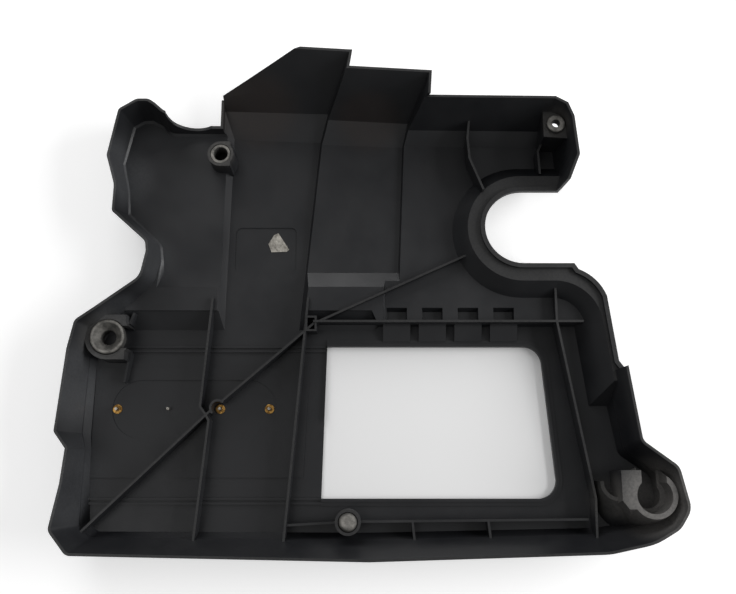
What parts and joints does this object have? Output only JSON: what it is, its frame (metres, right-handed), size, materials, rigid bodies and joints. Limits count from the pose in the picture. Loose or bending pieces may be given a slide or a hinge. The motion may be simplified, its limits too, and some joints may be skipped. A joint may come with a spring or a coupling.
{
  "type": "engine cover",
  "caption": "Moulded black engine cover lying on its top face: ribbed underside with rear channels, a window, a round cut-out and rubber-lined stud sockets.",
  "frame": {"origin": "centre of the bounding box, at the table under the top face it lies on", "axes": "+X along the cover to the side with the round cut-out, +Y to the rear edge with the channels, +Z out of the underside"},
  "size_m": [0.5329, 0.446, 0.07],
  "materials": {
    "moulded_plastic": "satin black moulding, scuffed and dusty",
    "rubber": "dull black rubber, dusty on top",
    "pin_metal": "dull",
    "clip_metal": "tarnished",
    "label": "torn and dirty"
  },
  "bodies": {
    "root": {"cover": "moulded_plastic", "grommet_left": "rubber", "grommet_rear_left": "rubber", "grommet_rear_right": "rubber", "bump_stop": "rubber", "badge_pins": "pin_metal", "pin_clips": "clip_metal", "label_scrap": "label"}
  },
  "joints": []
}
